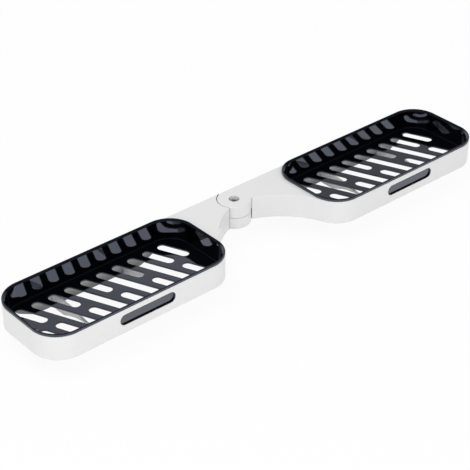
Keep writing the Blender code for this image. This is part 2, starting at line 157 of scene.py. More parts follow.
def moveAll(bm, vec):
    bmesh.ops.translate(bm, verts=bm.verts[:], vec=vec)


def turnAll(bm, angle, axis):
    turned = Matrix.Rotation(angle, 3, axis)
    bmesh.ops.rotate(bm, verts=bm.verts[:], cent=(0, 0, 0), matrix=turned)


# Objects


def toObject(name, bm):
    mesh = bpy.data.meshes.new(name)
    bm.to_mesh(mesh)
    bm.free()
    item = bpy.data.objects.new(name, mesh)
    bpy.context.scene.collection.objects.link(item)
    return item


# Cuts a bmesh away from an object, or joins it on
def carve(item, bm, operation="DIFFERENCE"):
    tool = toObject(item.name + "Tool", bm)
    change = item.modifiers.new("carve", "BOOLEAN")
    change.operation = operation
    change.solver = "EXACT"
    change.object = tool
    graph = bpy.context.evaluated_depsgraph_get()
    result = bpy.data.meshes.new_from_object(item.evaluated_get(graph))
    item.modifiers.clear()
    item.data = result
    bpy.data.objects.remove(tool, do_unlink=True)


def disc(centre, radius, low, high, segments):
    bm = bmesh.new()
    bmesh.ops.create_cone(
        bm, cap_ends=True, segments=segments, radius1=radius, radius2=radius, depth=high - low,
        matrix=Matrix.Translation((centre[0], centre[1], (low + high) / 2)),
    )
    return bm


def block(low, high):
    bm = bmesh.new()
    size = [b - a for a, b in zip(low, high)]
    middle = [(a + b) / 2 for a, b in zip(low, high)]
    place = Matrix.Translation(middle) @ Matrix.Diagonal((*size, 1))
    bmesh.ops.create_cube(bm, size=1, matrix=place)
    return bm


# Rounds sharp edges in groups of (width, segments, test), as a clamped group holds back only itself
def roundEdges(item, groups, sharpest=40):
    bm = bmesh.new()
    bm.from_mesh(item.data)
    bmesh.ops.remove_doubles(bm, verts=bm.verts[:], dist=meshCare["merge"])
    bmesh.ops.dissolve_limit(
        bm, angle_limit=meshCare["flat"], verts=bm.verts[:], edges=bm.edges[:],
    )
    limit = math.radians(sharpest)
    for width, segments, wanted in groups:
        edges = [
            e for e in bm.edges
            if len(e.link_faces) == 2 and e.calc_face_angle() > limit and wanted(e)
        ]
        bmesh.ops.bevel(
            bm, geom=edges, offset=width, offset_type="OFFSET", segments=segments, profile=0.5,
            affect="EDGES", clamp_overlap=True, material=-1,
        )
    bmesh.ops.dissolve_degenerate(bm, dist=meshCare["sliver"], edges=bm.edges[:])
    bm.to_mesh(item.data)
    bm.free()


def anyEdge(edge):
    return True


def levelEdge(*heights):
    near = lambda v: min(abs(v.co.z - z) for z in heights) < meshCare["onPlace"]
    return lambda edge: all(near(v) for v in edge.verts)


def hubEdge(heights, radii):
    level = levelEdge(*heights)
    near = lambda v: min(abs(v.co.xy.length - r) for r in radii) < meshCare["onHub"]
    return lambda edge: level(edge) and all(near(v) for v in edge.verts)


# Marks the narrow faces that round an edge, for the worn edges of the materials
def markEdges(mesh):
    mark = mesh.attributes.new("edgeStrip", "FLOAT", "FACE")
    for face in mesh.polygons:
        ends = [(mesh.vertices[a].co, mesh.vertices[b].co) for a, b in face.edge_keys]
        around = sum((a - b).length for a, b in ends)
        mark.data[face.index].value = float(2 * face.area < meshCare["strip"] * around)


def finishPiece(item, material, body, replaced, sharp=38):
    mesh = item.data
    mesh.materials.clear()
    mesh.materials.append(material)
    markEdges(mesh)
    mesh.shade_smooth()
    mesh.set_sharp_from_angle(angle=math.radians(sharp))
    weighted = item.modifiers.new("weightedNormals", "WEIGHTED_NORMAL")
    weighted.keep_sharp = True
    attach(item, body)
    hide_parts(*replaced)


# A CAD solid's copy with its triangles merged and its edges rounded
def softCopy(node, name, width, segments):
    item = bpy.data.objects.new(name, nodes[node].data.copy())
    bpy.context.scene.collection.objects.link(item)
    roundEdges(item, [(width, segments, anyEdge)])
    return item


# Shader nodes


def newGroup(name, inputs, outputs):
    group = bpy.data.node_groups.new(name, "ShaderNodeTree")
    place = group.interface.new_socket(
        name="Vector", in_out="INPUT", socket_type="NodeSocketVector",
    )
    place.default_value = (0, 0, 0)
    for label, value in inputs.items():
        socket = group.interface.new_socket(
            name=label, in_out="INPUT", socket_type="NodeSocketFloat",
        )
        socket.default_value = value
    for label in outputs:
        group.interface.new_socket(name=label, in_out="OUTPUT", socket_type="NodeSocketFloat")
    entry = group.nodes.new("NodeGroupInput")
    return group, entry.outputs, group.nodes.new("NodeGroupOutput").inputs


def mathNode(tree, operation, a, b=None, clamp=False):
    node = tree.nodes.new("ShaderNodeMath")
    node.operation = operation
    node.use_clamp = clamp
    for i, value in enumerate((a, b)):
        if value is None:
            continue
        if isinstance(value, (int, float)):
            node.inputs[i].default_value = value
        else:
            tree.links.new(value, node.inputs[i])
    return node.outputs[0]


def times(tree, a, b, clamp=False):
    return mathNode(tree, "MULTIPLY", a, b, clamp)


def plus(tree, a, b, clamp=False):
    return mathNode(tree, "ADD", a, b, clamp)


def minus(tree, a, b):
    return mathNode(tree, "SUBTRACT", a, b)


def noiseNode(tree, vector, scale, detail, roughness=0.5):
    node = tree.nodes.new("ShaderNodeTexNoise")
    node.inputs["Detail"].default_value = detail
    node.inputs["Roughness"].default_value = roughness
    if isinstance(scale, (int, float)):
        node.inputs["Scale"].default_value = scale
    else:
        tree.links.new(scale, node.inputs["Scale"])
    tree.links.new(vector, node.inputs["Vector"])
    return node.outputs["Fac"]


def stretch(tree, vector, scale):
    node = tree.nodes.new("ShaderNodeMapping")
    node.inputs["Scale"].default_value = scale
    tree.links.new(vector, node.inputs["Vector"])
    return node.outputs["Vector"]


def rangeNode(tree, value, fromLow, fromHigh, toLow=0.0, toHigh=1.0):
    node = tree.nodes.new("ShaderNodeMapRange")
    tree.links.new(value, node.inputs["Value"])
    labels = ("From Min", "From Max", "To Min", "To Max")
    for label, number in zip(labels, (fromLow, fromHigh, toLow, toHigh)):
        node.inputs[label].default_value = number
    return node.outputs["Result"]


def splitNode(tree, vector):
    node = tree.nodes.new("ShaderNodeSeparateXYZ")
    tree.links.new(vector, node.inputs["Vector"])
    return node.outputs


def hubDistance(tree, x, y):
    return mathNode(tree, "SQRT", plus(tree, times(tree, x, x), times(tree, y, y)))


def mixColor(tree, factor, first, second):
    node = tree.nodes.new("ShaderNodeMix")
    node.data_type = "RGBA"
    node.clamp_factor = True
    tree.links.new(factor, node.inputs[0])
    for socket, value in ((node.inputs[6], first), (node.inputs[7], second)):
        if isinstance(value, tuple):
            socket.default_value = (*value, 1.0)
        else:
            tree.links.new(value, socket)
    return node.outputs[2]


# Shader groups that several materials share. Noises are (scale, detail, roughness).

skinPattern = {
    "grain": (3.0, 0.6), "wave": (1.0, 0.4),  # detail and roughness, as the look gives the scale
    "patch": (14.0, 3.0, 0.55), "patchRange": (0.3, 0.7),
}


# Height of a moulded surface: slow waviness with a fine grain on it
def makeMouldSkin():
    group, entry, leave = newGroup(
        "mouldSkin", {"Grain": 900.0, "Wave": 40.0, "Grain Share": 0.5}, ("Height", "Patch"),
    )
    fine = noiseNode(group, entry["Vector"], entry["Grain"], *skinPattern["grain"])
    wave = noiseNode(group, entry["Vector"], entry["Wave"], *skinPattern["wave"])
    share = times(group, fine, entry["Grain Share"])
    group.links.new(plus(group, share, wave), leave["Height"])
    patch = noiseNode(group, entry["Vector"], *skinPattern["patch"])
    group.links.new(rangeNode(group, patch, *skinPattern["patchRange"]), leave["Patch"])
    return group


handlingPattern = {
    "stretches": ((30, 900, 400), (700, 40, 500), (420, 260, 30)),
    "streakScales": (1.0, 1.3, 1.6), "streakDetail": 2.0, "streakRange": (0.71, 0.76),
    "gate": (22.0, 1.0), "gateRange": (0.45, 0.65),
    "smear": (48.0, 5.0, 0.65), "smearRange": (0.46, 0.72),
}


# Hairline marks and finger smears
def makeHandling():
    look = handlingPattern
    group, entry, leave = newGroup("handlingMarks", {"Density": 0.5}, ("Hairlines", "Smears"))
    lines = []
    for scale, size in zip(look["stretches"], look["streakScales"]):
        along = stretch(group, entry["Vector"], scale)
        streak = noiseNode(group, along, size, look["streakDetail"])
        lines.append(rangeNode(group, streak, *look["streakRange"]))
    both = mathNode(group, "MAXIMUM", mathNode(group, "MAXIMUM", lines[0], lines[1]), lines[2])
    gate = rangeNode(group, noiseNode(group, entry["Vector"], *look["gate"]), *look["gateRange"])
    marks = times(group, both, gate)
    group.links.new(times(group, marks, entry["Density"], True), leave["Hairlines"])
    smear = noiseNode(group, entry["Vector"], *look["smear"])
    soft = rangeNode(group, smear, *look["smearRange"])
    group.links.new(times(group, soft, entry["Density"], True), leave["Smears"])
    return group


wearPattern = {"breaks": (160.0, 3.0), "breakRange": (0.35, 0.6)}


# Mask on the narrow faces that round an edge, broken up by noise
def makeEdgeWear():
    group, entry, leave = newGroup("edgeWear", {"Amount": 1.0}, ("Mask",))
    mark = group.nodes.new("ShaderNodeAttribute")
    mark.attribute_name = "edgeStrip"
    breaks = noiseNode(group, entry["Vector"], *wearPattern["breaks"])
    broken = rangeNode(group, breaks, *wearPattern["breakRange"])
    worn = times(group, mark.outputs["Fac"], broken)
    group.links.new(times(group, worn, entry["Amount"], True), leave["Mask"])
    return group


dustPattern = {
    "facing": (0.6, 1.0), "specks": (1500.0, 2.0, 0.7), "speckRange": (0.66, 0.78),
    "veil": (30.0, 4.0, 0.6), "veilRange": (0.4, 0.8, 0.0, 0.35),
}


# Thin dust that lies on faces that look up
def makeDust():
    look = dustPattern
    group, entry, leave = newGroup("settledDust", {"Amount": 1.0}, ("Mask",))
    shape = group.nodes.new("ShaderNodeNewGeometry")
    upright = splitNode(group, shape.outputs["Normal"])["Z"]
    facing = rangeNode(group, upright, *look["facing"])
    specks = noiseNode(group, entry["Vector"], *look["specks"])
    specks = rangeNode(group, specks, *look["speckRange"])
    veil = rangeNode(group, noiseNode(group, entry["Vector"], *look["veil"]), *look["veilRange"])
    lying = times(group, mathNode(group, "MAXIMUM", specks, veil), facing)
    group.links.new(times(group, lying, entry["Amount"], True), leave["Mask"])
    return group


mouldSkin = makeMouldSkin()
handlingMarks = makeHandling()
edgeWear = makeEdgeWear()
settledDust = makeDust()
print("shader groups ready")


# Materials


def useGroup(tree, group, vector, **values):
    node = tree.nodes.new("ShaderNodeGroup")
    node.node_tree = group
    tree.links.new(vector, node.inputs["Vector"])
    for label, value in values.items():
        node.inputs[label.replace("_", " ")].default_value = value
    return node.outputs


def startMaterial(name, look):
    material = bpy.data.materials.new(name)
    material.use_nodes = True
    tree = material.node_tree
    shader = tree.nodes["Principled BSDF"]
    shader.inputs["Metallic"].default_value = look.get("metallic", 0.0)
    shader.inputs["IOR"].default_value = look.get("ior", 1.47)
    shader.inputs["Specular Tint"].default_value = (*look.get("sheenTint", (1, 1, 1)), 1.0)
    material.diffuse_color = (*look["color"], 1.0)
    coords = tree.nodes.new("ShaderNodeTexCoord")
    return material, tree, shader.inputs, coords.outputs["Object"]


def addBump(tree, sockets, height, strength, distance):
    bump = tree.nodes.new("ShaderNodeBump")
    bump.inputs["Strength"].default_value = strength
    bump.inputs["Distance"].default_value = distance
    tree.links.new(height, bump.inputs["Height"])
    tree.links.new(bump.outputs["Normal"], sockets["Normal"])


hairlineLook = {"roughness": 0.2, "depth": 0.25}
dustRoughness = 0.3


# Tinted patches, worn edges, dust and hairlines over a fine skin
def mouldedPlastic(name, look):
    material, tree, sockets, place = startMaterial(name, look)
    skin = useGroup(
        tree, mouldSkin, place,
        Grain=look["grain"], Wave=look["wave"], Grain_Share=look["grainShare"],
    )
    marks = useGroup(tree, handlingMarks, place, Density=look["marks"])
    worn = useGroup(tree, edgeWear, place, Amount=look["wear"])
    dust = useGroup(tree, settledDust, place, Amount=look["dust"])
    base = mixColor(tree, skin["Patch"], look["color"], look["patchColor"])
    base = mixColor(tree, worn["Mask"], base, look["wornColor"])
    base = mixColor(tree, dust["Mask"], base, look["dustColor"])
    tree.links.new(base, sockets["Base Color"])
    rough = rangeNode(tree, skin["Patch"], 0.0, 1.0, *look["roughness"])
    rough = plus(tree, rough, times(tree, marks["Smears"], look["smearRoughness"]))
    rough = plus(tree, rough, times(tree, marks["Hairlines"], hairlineLook["roughness"]))
    rough = plus(tree, rough, times(tree, dust["Mask"], dustRoughness), True)
    tree.links.new(rough, sockets["Roughness"])
    height = minus(tree, skin["Height"], times(tree, marks["Hairlines"], hairlineLook["depth"]))
    addBump(tree, sockets, height, look["bump"], look["bumpDepth"])
    return material, tree, sockets, place, base


whiteLook = {
    "color": (0.800, 0.800, 0.798), "patchColor": (0.815, 0.815, 0.815),
    "wornColor": (0.84, 0.84, 0.84), "dustColor": (0.74, 0.73, 0.71), "roughness": (0.20, 0.26),
    "smearRoughness": 0.05, "grain": 1600.0, "wave": 30.0, "grainShare": 0.35, "marks": 0.35,
    "wear": 0.6, "dust": 0.12, "bump": 0.25, "bumpDepth": 0.00004, "ior": 1.47,
}
blackLook = {
    "color": (0.0004, 0.0004, 0.0007), "patchColor": (0.0007, 0.0007, 0.0012),
    "wornColor": (0.004, 0.004, 0.006), "dustColor": (0.05, 0.05, 0.055),
    "roughness": (0.04, 0.07), "smearRoughness": 0.04, "grain": 900.0, "wave": 60.0,
    "grainShare": 0.06, "marks": 0.35, "wear": 0.5, "dust": 0.04, "bump": 0.12,
    "bumpDepth": 0.00004, "ior": 1.99, "sheenTint": (0.68, 0.77, 1.0),
}
panelLook = dict(blackLook, ior=2.2, sheenTint=(0.80, 0.82, 1.0))
# The foot colour and its ranges paint shade on the plate's lower front, darker towards its outline
bracketLook = dict(
    whiteLook, color=(0.88, 0.88, 0.88), patchColor=(0.90, 0.90, 0.90), roughness=(0.28, 0.36),
    dust=0.0, footShadeColor=(0.26, 0.26, 0.25), footShadeRange=(0.004, 0.017), shadeFaceRange=(0.001, 0.0002),
    cloud=(60.0, 3.0), cloudRange=(0.3, 0.7, 0.85, 1.0),
)
foamLook = {
    "color": (0.62, 0.63, 0.64), "patchColor": (0.68, 0.69, 0.70),
    "wornColor": (0.72, 0.72, 0.72), "dustColor": (0.6, 0.6, 0.6), "roughness": (0.7, 0.85),
    "smearRoughness": 0.0, "grain": 2600.0, "wave": 300.0, "grainShare": 1.6, "marks": 0.0,
    "wear": 0.0, "dust": 0.0, "bump": 0.7, "bumpDepth": 0.0002,
}
nylonLook = dict(
    foamLook, color=(0.55, 0.55, 0.53), patchColor=(0.60, 0.60, 0.58), roughness=(0.42, 0.52),
    bump=0.3,
)
# Painted shade for the hinge recess walls: ring radius, half width, softness, depth below the top
# and colour
recessShadeLook = {
    "radius": 0.0197, "half": 0.00026, "soft": 0.00006, "low": 0.0001,
    "color": (0.03, 0.03, 0.03),
}


# Painted shade: a near-black colour on the curved walls that face the knuckles, where the hinge gap
# lies in shade
def framePlastic():
    material, tree, sockets, place, base = mouldedPlastic("whitePlastic", whiteLook)
    x, y, z = splitNode(tree, place)
    radius = hubDistance(tree, minus(tree, x, hinge.x), minus(tree, y, hinge.y))
    offWall = mathNode(tree, "ABSOLUTE", minus(tree, radius, recessShadeLook["radius"]))
    inner = recessShadeLook["half"] - recessShadeLook["soft"]
    onWall = rangeNode(tree, offWall, inner, recessShadeLook["half"], 1.0, 0.0)
    low = recessShadeLook["low"]
    under = rangeNode(tree, z, hinge.z - 2 * low, hinge.z - low, 1.0, 0.0)
    share = times(tree, onWall, under)
    # Painted shade: the recess walls take the near-black colour where the gap is in shade
    tree.links.new(mixColor(tree, share, base, recessShadeLook["color"]), sockets["Base Color"])
    return material


whitePlastic = framePlastic()
blackPlastic = mouldedPlastic("blackPlastic", blackLook)[0]
panelPlastic = mouldedPlastic("panelPlastic", panelLook)[0]
foam = mouldedPlastic("padFoam", foamLook)[0]
nylon = mouldedPlastic("washerNylon", nylonLook)[0]

plateShape = {
    "front": 0.0510, "half": 0.094, "slantLength": 0.025, "slantHeight": 0.0124,
    "middles": {"left": -0.1845, "right": 0.1985},
}


# Painted shade: the plate turns greyer towards its lower outline, broken up by a soft cloud
def plateMaterial(side):
    name = side + "BracketPlastic"
    material, tree, sockets, place, base = mouldedPlastic(name, bracketLook)
    x, y, z = splitNode(tree, place)
    lean = math.atan2(plateShape["slantHeight"], plateShape["slantLength"])
    out = mathNode(tree, "ABSOLUTE", minus(tree, x, plateShape["middles"][side]))
    reach = minus(tree, plateShape["half"] - plateShape["slantLength"], out)
    slanted = times(tree, reach, math.sin(lean))
    slanted = plus(tree, slanted, times(tree, z, math.cos(lean)))
    inside = mathNode(tree, "MINIMUM", z, slanted)
    low = rangeNode(tree, inside, *bracketLook["footShadeRange"], 1.0, 0.0)
    behind = [plateShape["front"] - away for away in bracketLook["shadeFaceRange"]]
    onPlate = rangeNode(tree, y, *behind)
    cloud = noiseNode(tree, place, *bracketLook["cloud"])
    cloud = rangeNode(tree, cloud, *bracketLook["cloudRange"])
    share = times(tree, times(tree, low, onPlate), cloud)
    # Painted shade mixed into the plate's base colour towards its foot
    tree.links.new(mixColor(tree, share, base, bracketLook["footShadeColor"]), sockets["Base Color"])
    return material


turnedLook = {
    "marks": 0.8, "wear": 1.0, "cloud": (420.0, 4.0, 0.6), "cloudRange": (0.3, 0.7),
    "hairlineRoughness": 0.15, "bump": 0.25, "bumpDepth": 0.00002,
}


# Turned and plated: rings about the hinge axis, cloudy plating and hairlines
def turnedMetal(name, look):
    material, tree, sockets, place = startMaterial(name, look)
    centre = tree.nodes.new("ShaderNodeMapping")
    centre.inputs["Location"].default_value = (-hinge.x, -hinge.y, 0)
    tree.links.new(place, centre.inputs["Vector"])
    x, y = splitNode(tree, centre.outputs["Vector"])[:2]
    rings = mathNode(tree, "SINE", times(tree, hubDistance(tree, x, y), look["rings"]))
    marks = useGroup(tree, handlingMarks, place, Density=turnedLook["marks"])
    worn = useGroup(tree, edgeWear, place, Amount=turnedLook["wear"])
    cloud = noiseNode(tree, place, *turnedLook["cloud"])
    base = mixColor(tree, cloud, look["color"], look["patchColor"])
    base = mixColor(tree, worn["Mask"], base, look["wornColor"])
    tree.links.new(base, sockets["Base Color"])
    rough = rangeNode(tree, cloud, *turnedLook["cloudRange"], *look["roughness"])
    scratched = times(tree, marks["Hairlines"], turnedLook["hairlineRoughness"])
    tree.links.new(plus(tree, rough, scratched, True), sockets["Roughness"])
    addBump(tree, sockets, rings, turnedLook["bump"], turnedLook["bumpDepth"])
    return material


steelLook = {
    "color": (0.50, 0.50, 0.51), "patchColor": (0.62, 0.62, 0.63),
    "wornColor": (0.74, 0.74, 0.74), "roughness": (0.24, 0.36), "metallic": 1.0,
    "rings": 42000.0,
}
brassLook = {
    "color": (0.62, 0.45, 0.20), "patchColor": (0.74, 0.56, 0.28),
    "wornColor": (0.84, 0.70, 0.42), "roughness": (0.22, 0.34), "metallic": 1.0,
    "rings": 36000.0,
}
steel = turnedMetal("screwSteel", steelLook)
brass = turnedMetal("sleeveBrass", brassLook)
print("materials ready")


# Frames

armShape = {
    "top": 0.003, "rib": 0.0018, "ribRecess": 0.003, "ribPlaces": (0.2, 0.5, 0.8),
    "topRound": 0.0005, "lowRound": 0.0009, "roundSteps": 3, "footEdge": 0.0003,
    "knuckleSteps": 72, "curveSteps": 44, "nearSteps": 22, "hubSteps": 96, "wallSteps": 300,
}
hingeShape = {
    "seam": 0.0006, "gap": 0.0009, "bore": 0.0046, "counterbore": 0.006, "counterDepth": 0.007,
    "washerSeat": 0.0127, "washerDepth": 0.0012, "pocketFlat": 0.0114, "pocketDepth": 0.0078,
    "capSeat": 0.0095, "capDepth": 0.0015, "stopRadius": 0.015, "stopWidth": 0.0022,
    "stopHeight": 0.0024, "stopGap": 0.0004, "stopStart": math.radians(20),
    "stopArc": math.radians(14), "stopPlay": math.radians(1), "stopStep": math.radians(3),
    "recessSteps": 144, "boreSteps": 72, "hubEdge": 0.00025, "seamEdge": 0.0001,
}
windowShape = {
    "length": 0.0698, "height": 0.0125, "drop": 0.0123, "endSteps": 24, "edge": 0.0003,
    "margin": 0.002,  # its edges lie further than this from the wall's top and foot
}
edgeSegments = 2
over = 0.004  # how far a cutter reaches past what it cuts
eye = Vector((0, 0))
nearCorner = Vector((shelf["reach"] + shelf["corner"], frontLine + shelf["corner"]))


# Where two circles cross; side 1 or -1 picks one of the two points
def crossing(a, radiusA, b, radiusB, side):
    apart = (b - a).length
    along = (apart**2 + radiusA**2 - radiusB**2) / (2 * apart)
    across = math.sqrt(radiusA**2 - along**2)
    way = (b - a) / apart
    return a + way * along + Vector((-way.y, way.x)) * across * side


def headingTo(point, centre):
    return math.atan2(point.y - centre.y, point.x - centre.x)


rootPlace = Vector((0, -shelf["rootFront"]))
cornerReach = shelf["curve"] + shelf["corner"]
curveCentre = crossing(rootPlace, shelf["curve"], nearCorner, cornerReach, -1)


# Right frame seen from above: knuckle, hollow curve, near corner, far end
def drawFrame(bm):
    knuckle, corner, curve = shelf["knuckle"], shelf["corner"], shelf["curve"]
    steps = shelf["cornerSteps"]
    far = shelf["reach"] + shelf["length"]
    root = crossing(eye, knuckle, curveCentre, curve, 1)
    eyeSweep = (headingTo(root, eye) - quarter) % math.tau
    curveSweep = headingTo(nearCorner, curveCentre) - headingTo(root, curveCentre)
    cornerSweep = 3 * quarter - headingTo(curveCentre, nearCorner) % math.tau
    first = bm.verts.new((0, knuckle, 0))
    vert = turn(bm, first, eye, eyeSweep, armShape["knuckleSteps"])
    vert = turn(bm, vert, curveCentre, curveSweep, armShape["curveSteps"])
    vert = turn(bm, vert, nearCorner, cornerSweep, armShape["nearSteps"])
    vert = runTo(bm, vert, (far - corner, frontLine))
    vert = turn(bm, vert, (far - corner, frontLine + corner), quarter, steps)
    vert = runTo(bm, vert, (far, backLine - corner))
    vert = turn(bm, vert, (far - corner, backLine - corner), quarter, steps)
    return fillOutline(bm, vert, first)


def seatCutter(inset, low, high):
    bm = bmesh.new()
    size = (shelf["length"] - 2 * inset, shelf["depth"] - 2 * inset)
    corner = shelf["corner"] - inset
    face = roundedFace(bm, (middleX, middleY), size, corner, shelf["cornerSteps"])
    moveAll(bm, (0, 0, low))
    raiseFace(bm, face, high - low)
    return bm


# Opens the arm from below and leaves its cross ribs
def hollowArm(item):
    low, top = -shelf["height"], -armShape["top"]
    under = low - 2 * over
    hub = shelf["knuckle"] + hingeShape["gap"] + shelf["wall"]
    frontWall = shelf["curve"] + shelf["wall"]
    start, end = (0, frontLine, low - over), (nearCorner.x, backLine - shelf["wall"], top)
    space = toObject("armSpace", block(start, end))
    carve(space, disc(eye, hub, under, over, armShape["hubSteps"]))
    carve(space, disc(curveCentre, frontWall, under, over, armShape["wallSteps"]))
    carve(space, seatCutter(0, under, over))
    for share in armShape["ribPlaces"]:
        x = hub + (shelf["reach"] - hub) * share
        half = armShape["rib"] / 2
        start = (x - half, frontLine - over, low + armShape["ribRecess"])
        carve(space, block(start, (x + half, backLine + over, over)))
    bm = bmesh.new()
    bm.from_mesh(space.data)
    bpy.data.objects.remove(space, do_unlink=True)
    carve(item, bm)


def windowCutter():
    bm = bmesh.new()
    face = obroundFace(bm, windowShape["length"], windowShape["height"], windowShape["endSteps"])
    raiseFace(bm, face, shelf["wall"] + 2 * over)
    turnAll(bm, -quarter, "X")
    moveAll(bm, (middleX, frontLine - over, -windowShape["drop"]))
    return bm


# Window edges lie in the wall's front, away from its top and foot
def windowEdge(edge):
    low, high = windowShape["margin"] - shelf["height"], -windowShape["margin"]
    inFront = lambda v: abs(v.co.y - frontLine) < meshCare["onPlace"] and low < v.co.z < high
    return all(inFront(v) for v in edge.verts)


# Curved block about the hinge axis: a small face spun round it
def stopBlock(width, start, sweep, low, high):
    bm = bmesh.new()
    place = Matrix.Translation((hingeShape["stopRadius"], 0, (low + high) / 2))
    place = place @ Matrix.Rotation(quarter, 4, "X") @ Matrix.Diagonal((width, high - low, 1, 1))
    bmesh.ops.create_grid(bm, x_segments=1, y_segments=1, size=0.5, matrix=place)
    turnAll(bm, start, "Z")
    steps = max(4, round(sweep / hingeShape["stopStep"]))
    geom = bm.verts[:] + bm.edges[:] + bm.faces[:]
    bmesh.ops.spin(bm, geom=geom, cent=(0, 0, 0), axis=(0, 0, 1), angle=sweep, steps=steps)
    ends = [e for e in bm.edges if e.is_boundary]
    if ends:
        bmesh.ops.holes_fill(bm, edges=ends)
    bmesh.ops.recalc_face_normals(bm, faces=bm.faces[:])
    return bm


def mirrorX(item):
    bm = bmesh.new()
    bm.from_mesh(item.data)
    bmesh.ops.scale(bm, vec=(-1, 1, 1), verts=bm.verts[:])
    bmesh.ops.reverse_faces(bm, faces=bm.faces[:])
    bm.to_mesh(item.data)
    bm.free()


# The lower knuckle takes the friction washer, the stop's track, the nut and the cap
def cutLowerKnuckle(item, recess, lowerFace):
    h = hingeShape
    foot, steps = -shelf["height"], h["boreSteps"]
    carve(item, disc(eye, recess, lowerFace, over, h["recessSteps"]))
    carve(item, disc(eye, h["washerSeat"], lowerFace - h["washerDepth"], over, steps))
    half = h["stopArc"] / 2 + h["stopPlay"]
    width = h["stopWidth"] + 2 * h["stopGap"]
    low = lowerFace - h["stopHeight"] - h["stopGap"]
    start = h["stopStart"] - half - quarter
    carve(item, stopBlock(width, start, quarter + 2 * half, low, over))
    flat = h["pocketFlat"] / 2 / math.cos(math.pi / 6)
    carve(item, disc(eye, flat, foot - over, foot + h["pocketDepth"], 6))
    carve(item, disc(eye, h["capSeat"], foot - over, foot + h["capDepth"], steps))


# The upper knuckle takes the screw's head and carries the stop
def cutUpperKnuckle(item, recess, upperFace, lowerFace):
    h = hingeShape
    carve(item, disc(eye, recess, -shelf["height"] - over, upperFace, h["recessSteps"]))
    carve(item, disc(eye, h["counterbore"], -h["counterDepth"], over, h["boreSteps"]))
    low = lowerFace - h["stopHeight"] + h["stopGap"]
    start = h["stopStart"] - h["stopArc"] / 2
    lug = stopBlock(h["stopWidth"], start, h["stopArc"], low, upperFace + h["stopGap"])
    carve(item, lug, "UNION")


# Both frames are drawn to the right; the left one is mirrored before its hinge is cut
def buildFrame(name, side, body, node):
    height = shelf["height"]
    topRound, lowRound, steps = armShape["topRound"], armShape["lowRound"], armShape["roundSteps"]
    seam = -height / 2
    upperFace = seam + hingeShape["seam"] / 2
    lowerFace = seam - hingeShape["seam"] / 2
    recess = shelf["knuckle"] + hingeShape["gap"]
    bm = bmesh.new()
    foot = drawFrame(bm)
    moveAll(bm, (0, 0, lowRound - height))
    top = raiseFace(bm, foot, height - lowRound - topRound)
    stack(bm, top, roundSteps(topRound, steps, 1, True))
    stack(bm, foot, roundSteps(lowRound, steps, 1, True))
    item = toObject(name, bm)
    carve(item, seatCutter(shelf["wall"], -height - over, over))
    hollowArm(item)
    carve(item, windowCutter())
    if side < 0:
        mirrorX(item)
        cutLowerKnuckle(item, recess, lowerFace)
    else:
        cutUpperKnuckle(item, recess, upperFace, lowerFace)
    carve(item, disc(eye, hingeShape["bore"], -height - over, over, hingeShape["boreSteps"]))
    knuckleEdge = hubEdge([upperFace, lowerFace], [shelf["knuckle"]])
    roundEdges(item, [
        (hingeShape["hubEdge"], edgeSegments, hubEdge([0], [recess, hingeShape["counterbore"]])),
        (hingeShape["seamEdge"], edgeSegments, knuckleEdge),
        (windowShape["edge"], edgeSegments, windowEdge),
        (armShape["footEdge"], edgeSegments, levelEdge(-height)),
    ])
    item.data.transform(Matrix.Translation(hinge))
    finishPiece(item, whitePlastic, body, [node])


buildFrame("leftFrameBody", -1, "left_shelf", "left_frame")
buildFrame("rightFrameBody", 1, "right_shelf", "right_frame")
print("frames ready")


# Trays

trayShape = {
    "rim": 0.0036, "rimHeight": 0.0034, "rimOuter": 0.001, "rimInner": 0.001,
    "rimSlope": math.radians(41), "draft": 0.0009, "wall": 0.0017, "floor": 0.0202,
    "floorThick": 0.0018, "inner": 0.0008, "outer": 0.0026, "seat": 0.0003,
    "rimOuterSteps": 7, "rimInnerSteps": 4, "innerSteps": 4, "outerSteps": 5,
}
slotShape = {
    "width": 0.0106, "pitch": 0.0202, "tilt": math.radians(23.4), "backMargin": 0.0087,
    "frontMargin": 0.0069, "bridge": 0.0092, "bridgeShift": 0.0005, "rowShift": 0.0007,
    "each": 5, "endSteps": 14, "edge": 0.0004, "edgeSegments": 3, "edgeSharpest": 50,
}


# Starts and ends of the slots on one line, from the back to the front
def slotRuns(line):
    foot = trayShape["rim"] + trayShape["draft"]
    back = backLine - foot - slotShape["backMargin"]
    front = frontLine + foot + slotShape["frontMargin"]
    middle = middleY + slotShape["bridgeShift"]
    half = slotShape["bridge"] / 2
    if line == -slotShape["each"]:
        return [(middle - half, front)]
    if line == slotShape["each"]:
        return [(back, middle + half)]
    if line % 2:
        return [(back, front)]
    return [(back, middle + half), (middle - half, front)]


# One drain slot, drawn lengthwise, then leaned and set in its row
def slotCutter(line, start, end):
    radius, tilt = slotShape["width"] / 2, slotShape["tilt"]
    first, last = start - radius, end + radius
    length = (first - last) / math.cos(tilt) + slotShape["width"]
    bm = bmesh.new()
    face = obroundFace(bm, length, slotShape["width"], slotShape["endSteps"])
    raiseFace(bm, face, trayShape["floorThick"] + 2 * over)
    turnAll(bm, tilt - quarter, "Z")
    y = (first + last) / 2 - middleY
    x = slotShape["rowShift"] + line * slotShape["pitch"] - y * math.tan(tilt)
    moveAll(bm, (x, y, -trayShape["floor"] - trayShape["floorThick"] - over))
    return bm


